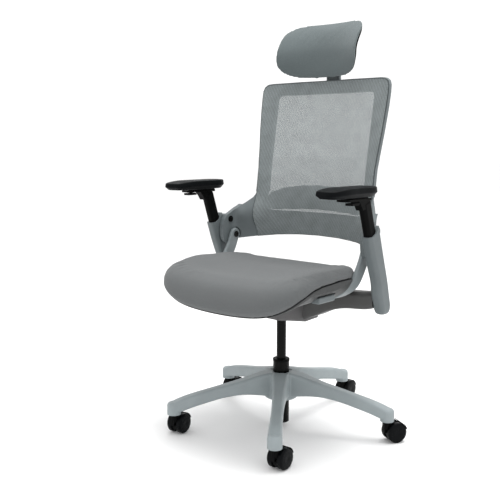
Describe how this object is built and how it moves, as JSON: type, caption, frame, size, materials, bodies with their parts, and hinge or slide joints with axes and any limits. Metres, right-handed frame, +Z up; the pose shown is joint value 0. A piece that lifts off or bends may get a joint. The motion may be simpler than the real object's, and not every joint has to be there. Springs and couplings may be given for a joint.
{
  "type": "office chair",
  "caption": "Ergonomic swivel chair with a mesh back on a curved yoke, padded seat, headrest, height-adjustable arms and a star base on casters.",
  "frame": {"origin": "on the floor, under the axis of the gas column", "axes": "+Z up; the sitter faces -Y; +X is the sitter's left"},
  "size_m": [0.6794, 0.6694, 1.1951],
  "materials": {
    "base_grey": "satin",
    "shell_grey": "matte",
    "grey_plastic": "satin",
    "grey_metal": "satin",
    "dark_metal": "satin",
    "black_metal": "semi-gloss",
    "steel": "zinc plated",
    "dark_plastic": "matte",
    "black_plastic": "matte",
    "caster_black": "satin",
    "pad_black": "soft touch",
    "seat_fabric": "fine knit",
    "headrest_fabric": "fine knit",
    "mesh_fabric": "open mesh",
    "lumbar_grey": "matte",
    "plywood": "raw"
  },
  "bodies": {
    "base": {"star_base": "base_grey", "column_tube": "black_metal", "column_bushing": "black_plastic", "column_rod": "steel", "column_clip": "steel", "caster_stems": "steel"},
    "caster_1": {"caster_1_hood": "black_plastic", "caster_1_axle": "steel"},
    "caster_1_wheel_pair": {"caster_1_wheels": "caster_black"},
    "caster_2": {"caster_2_hood": "black_plastic", "caster_2_axle": "steel"},
    "caster_2_wheel_pair": {"caster_2_wheels": "caster_black"},
    "caster_3": {"caster_3_hood": "black_plastic", "caster_3_axle": "steel"},
    "caster_3_wheel_pair": {"caster_3_wheels": "caster_black"},
    "caster_4": {"caster_4_hood": "black_plastic", "caster_4_axle": "steel"},
    "caster_4_wheel_pair": {"caster_4_wheels": "caster_black"},
    "caster_5": {"caster_5_hood": "black_plastic", "caster_5_axle": "steel"},
    "caster_5_wheel_pair": {"caster_5_wheels": "caster_black"},
    "lift": {"gas_cylinder": "black_metal"},
    "release_pin": {"release_pin": "steel"},
    "chassis": {"mechanism_cover": "dark_plastic", "mechanism_housing": "dark_metal", "tilt_spring": "steel", "upper_pivot_bolts": "black_metal", "support_beam_left": "dark_metal", "support_beam_right": "dark_metal", "arm_upright_left": "grey_plastic", "arm_upright_right": "grey_plastic"},
    "rocker": {"release_rocker": "steel"},
    "seat": {"seat_cushion": "seat_fabric", "seat_shell": "shell_grey", "seat_board": "plywood", "seat_carrier": "steel", "seat_guide_pins": "steel", "lower_pivot_bolts": "black_metal", "seat_screws": "steel", "seat_link_left": "grey_metal", "seat_link_right": "grey_metal"},
    "tilt_lever": {"tilt_lever": "grey_plastic"},
    "height_lever": {"height_lever": "grey_plastic"},
    "back": {"back_frame": "grey_plastic", "back_yoke": "grey_plastic", "back_mesh": "mesh_fabric", "back_screws": "black_metal", "headrest_bracket": "black_plastic"},
    "lumbar": {"lumbar_support": "lumbar_grey"},
    "headrest_stem": {"headrest_stem": "grey_metal"},
    "headrest": {"headrest_shell": "black_plastic", "headrest_cushion": "headrest_fabric"},
    "arm_post_left": {"arm_post_left": "black_plastic"},
    "arm_trigger_left": {"arm_trigger_left": "black_plastic"},
    "arm_slider_left": {"arm_slider_left": "black_plastic"},
    "arm_pad_left": {"arm_pad_left": "pad_black"},
    "arm_post_right": {"arm_post_right": "black_plastic"},
    "arm_trigger_right": {"arm_trigger_right": "black_plastic"},
    "arm_slider_right": {"arm_slider_right": "black_plastic"},
    "arm_pad_right": {"arm_pad_right": "pad_black"}
  },
  "joints": [
    {"name": "caster_1_swivel", "type": "hinge", "parent": "base", "child": "caster_1", "pos_m": [0, 0.32, 0.05], "axis": [0, 0, 1], "continuous": true},
    {"name": "caster_1_roll", "type": "hinge", "parent": "caster_1", "child": "caster_1_wheel_pair", "pos_m": [0, 0.343, 0.029], "axis": [1, 0, 0], "continuous": true},
    {"name": "caster_2_swivel", "type": "hinge", "parent": "base", "child": "caster_2", "pos_m": [-0.30434, 0.09889, 0.05], "axis": [0, 0, 1], "continuous": true},
    {"name": "caster_2_roll", "type": "hinge", "parent": "caster_2", "child": "caster_2_wheel_pair", "pos_m": [-0.30434, 0.12188, 0.029], "axis": [1, 0, 0], "continuous": true},
    {"name": "caster_3_swivel", "type": "hinge", "parent": "base", "child": "caster_3", "pos_m": [-0.18809, -0.25888, 0.05], "axis": [0, 0, 1], "continuous": true},
    {"name": "caster_3_roll", "type": "hinge", "parent": "caster_3", "child": "caster_3_wheel_pair", "pos_m": [-0.19209, -0.23624, 0.029], "axis": [0.9848, 0.1736, 0], "continuous": true},
    {"name": "caster_4_swivel", "type": "hinge", "parent": "base", "child": "caster_4", "pos_m": [0.18809, -0.25888, 0.05], "axis": [0, 0, 1], "continuous": true},
    {"name": "caster_4_roll", "type": "hinge", "parent": "caster_4", "child": "caster_4_wheel_pair", "pos_m": [0.18689, -0.23592, 0.029], "axis": [0.9986, 0.0523, 0], "continuous": true},
    {"name": "caster_5_swivel", "type": "hinge", "parent": "base", "child": "caster_5", "pos_m": [0.30434, 0.09889, 0.05], "axis": [0, 0, 1], "continuous": true},
    {"name": "caster_5_roll", "type": "hinge", "parent": "caster_5", "child": "caster_5_wheel_pair", "pos_m": [0.31584, 0.1188, 0.029], "axis": [0.866, -0.5, 0], "continuous": true},
    {"name": "gas_lift", "type": "slide", "parent": "base", "child": "lift", "axis": [0, 0, 1], "range_m": [-0.1, 0]},
    {"name": "release_pin_press", "type": "slide", "parent": "lift", "child": "release_pin", "axis": [0, 0, -1], "range_m": [0, 0.0026]},
    {"name": "seat_swivel", "type": "hinge", "parent": "lift", "child": "chassis", "pos_m": [0, 0, 0.34], "axis": [0, 0, 1], "continuous": true},
    {"name": "release_rocker_tip", "type": "hinge", "parent": "chassis", "child": "rocker", "pos_m": [0, -0.045, 0.3645], "axis": [-1, 0, 0], "range_deg": [0, 3.3]},
    {"name": "back_recline", "type": "hinge", "parent": "chassis", "child": "back", "pos_m": [0, 0.055, 0.6], "axis": [-1, 0, 0], "range_deg": [0, 20], "stiffness_Nm_per_rad": 90, "springref_deg": -20.05},
    {"name": "seat_glide", "type": "slide", "parent": "chassis", "child": "seat", "axis": [0, -0.9987, -0.0507], "range_m": [0, 0.0172]},
    {"name": "tilt_lever_pull", "type": "hinge", "parent": "seat", "child": "tilt_lever", "pos_m": [0.2265, -0.122, 0.439], "axis": [0, -1, 0], "range_deg": [0, 8], "stiffness_Nm_per_rad": 1.5, "springref_deg": -5.73},
    {"name": "height_lever_pull", "type": "hinge", "parent": "seat", "child": "height_lever", "pos_m": [-0.2265, -0.122, 0.439], "axis": [0, 1, 0], "range_deg": [0, 8], "stiffness_Nm_per_rad": 1.5, "springref_deg": -5.73},
    {"name": "lumbar_height", "type": "slide", "parent": "back", "child": "lumbar", "axis": [0, 0.2, 0.9798], "range_m": [0, 0.035]},
    {"name": "headrest_height", "type": "slide", "parent": "back", "child": "headrest_stem", "axis": [0, 0, 1], "range_m": [0, 0.02]},
    {"name": "headrest_tilt", "type": "hinge", "parent": "headrest_stem", "child": "headrest", "pos_m": [0, 0.248, 1.102], "axis": [1, 0, 0], "range_deg": [-20, 5]},
    {"name": "arm_height_left", "type": "slide", "parent": "chassis", "child": "arm_post_left", "axis": [0, -0.3173, 0.9483], "range_m": [-0.04, 0.01]},
    {"name": "arm_trigger_press_left", "type": "slide", "parent": "arm_post_left", "child": "arm_trigger_left", "axis": [0, 0, 1], "range_m": [0, 0.003], "stiffness_N_per_m": 500, "springref_m": -0.004},
    {"name": "pad_depth_left", "type": "slide", "parent": "arm_post_left", "child": "arm_slider_left", "axis": [0, 1, 0], "range_m": [-0.025, 0.025]},
    {"name": "pad_turn_left", "type": "hinge", "parent": "arm_slider_left", "child": "arm_pad_left", "pos_m": [0.276, -0.04, 0.7], "axis": [0, 0, 1], "range_deg": [-20, 20]},
    {"name": "arm_height_right", "type": "slide", "parent": "chassis", "child": "arm_post_right", "axis": [0, -0.3173, 0.9483], "range_m": [-0.04, 0.01]},
    {"name": "arm_trigger_press_right", "type": "slide", "parent": "arm_post_right", "child": "arm_trigger_right", "axis": [0, 0, 1], "range_m": [0, 0.003], "stiffness_N_per_m": 500, "springref_m": -0.004},
    {"name": "pad_depth_right", "type": "slide", "parent": "arm_post_right", "child": "arm_slider_right", "axis": [0, 1, 0], "range_m": [-0.025, 0.025]},
    {"name": "pad_turn_right", "type": "hinge", "parent": "arm_slider_right", "child": "arm_pad_right", "pos_m": [-0.276, -0.04, 0.7], "axis": [0, 0, 1], "range_deg": [-20, 20]}
  ],
  "couplings": [
    {"joint": "seat_glide", "follows": "back_recline", "m_per_rad": 0.048995},
    {"joint": "release_pin_press", "follows": "height_lever_pull", "m_per_rad": 0.0179},
    {"joint": "release_rocker_tip", "follows": "height_lever_pull", "ratio": 0.3979}
  ]
}
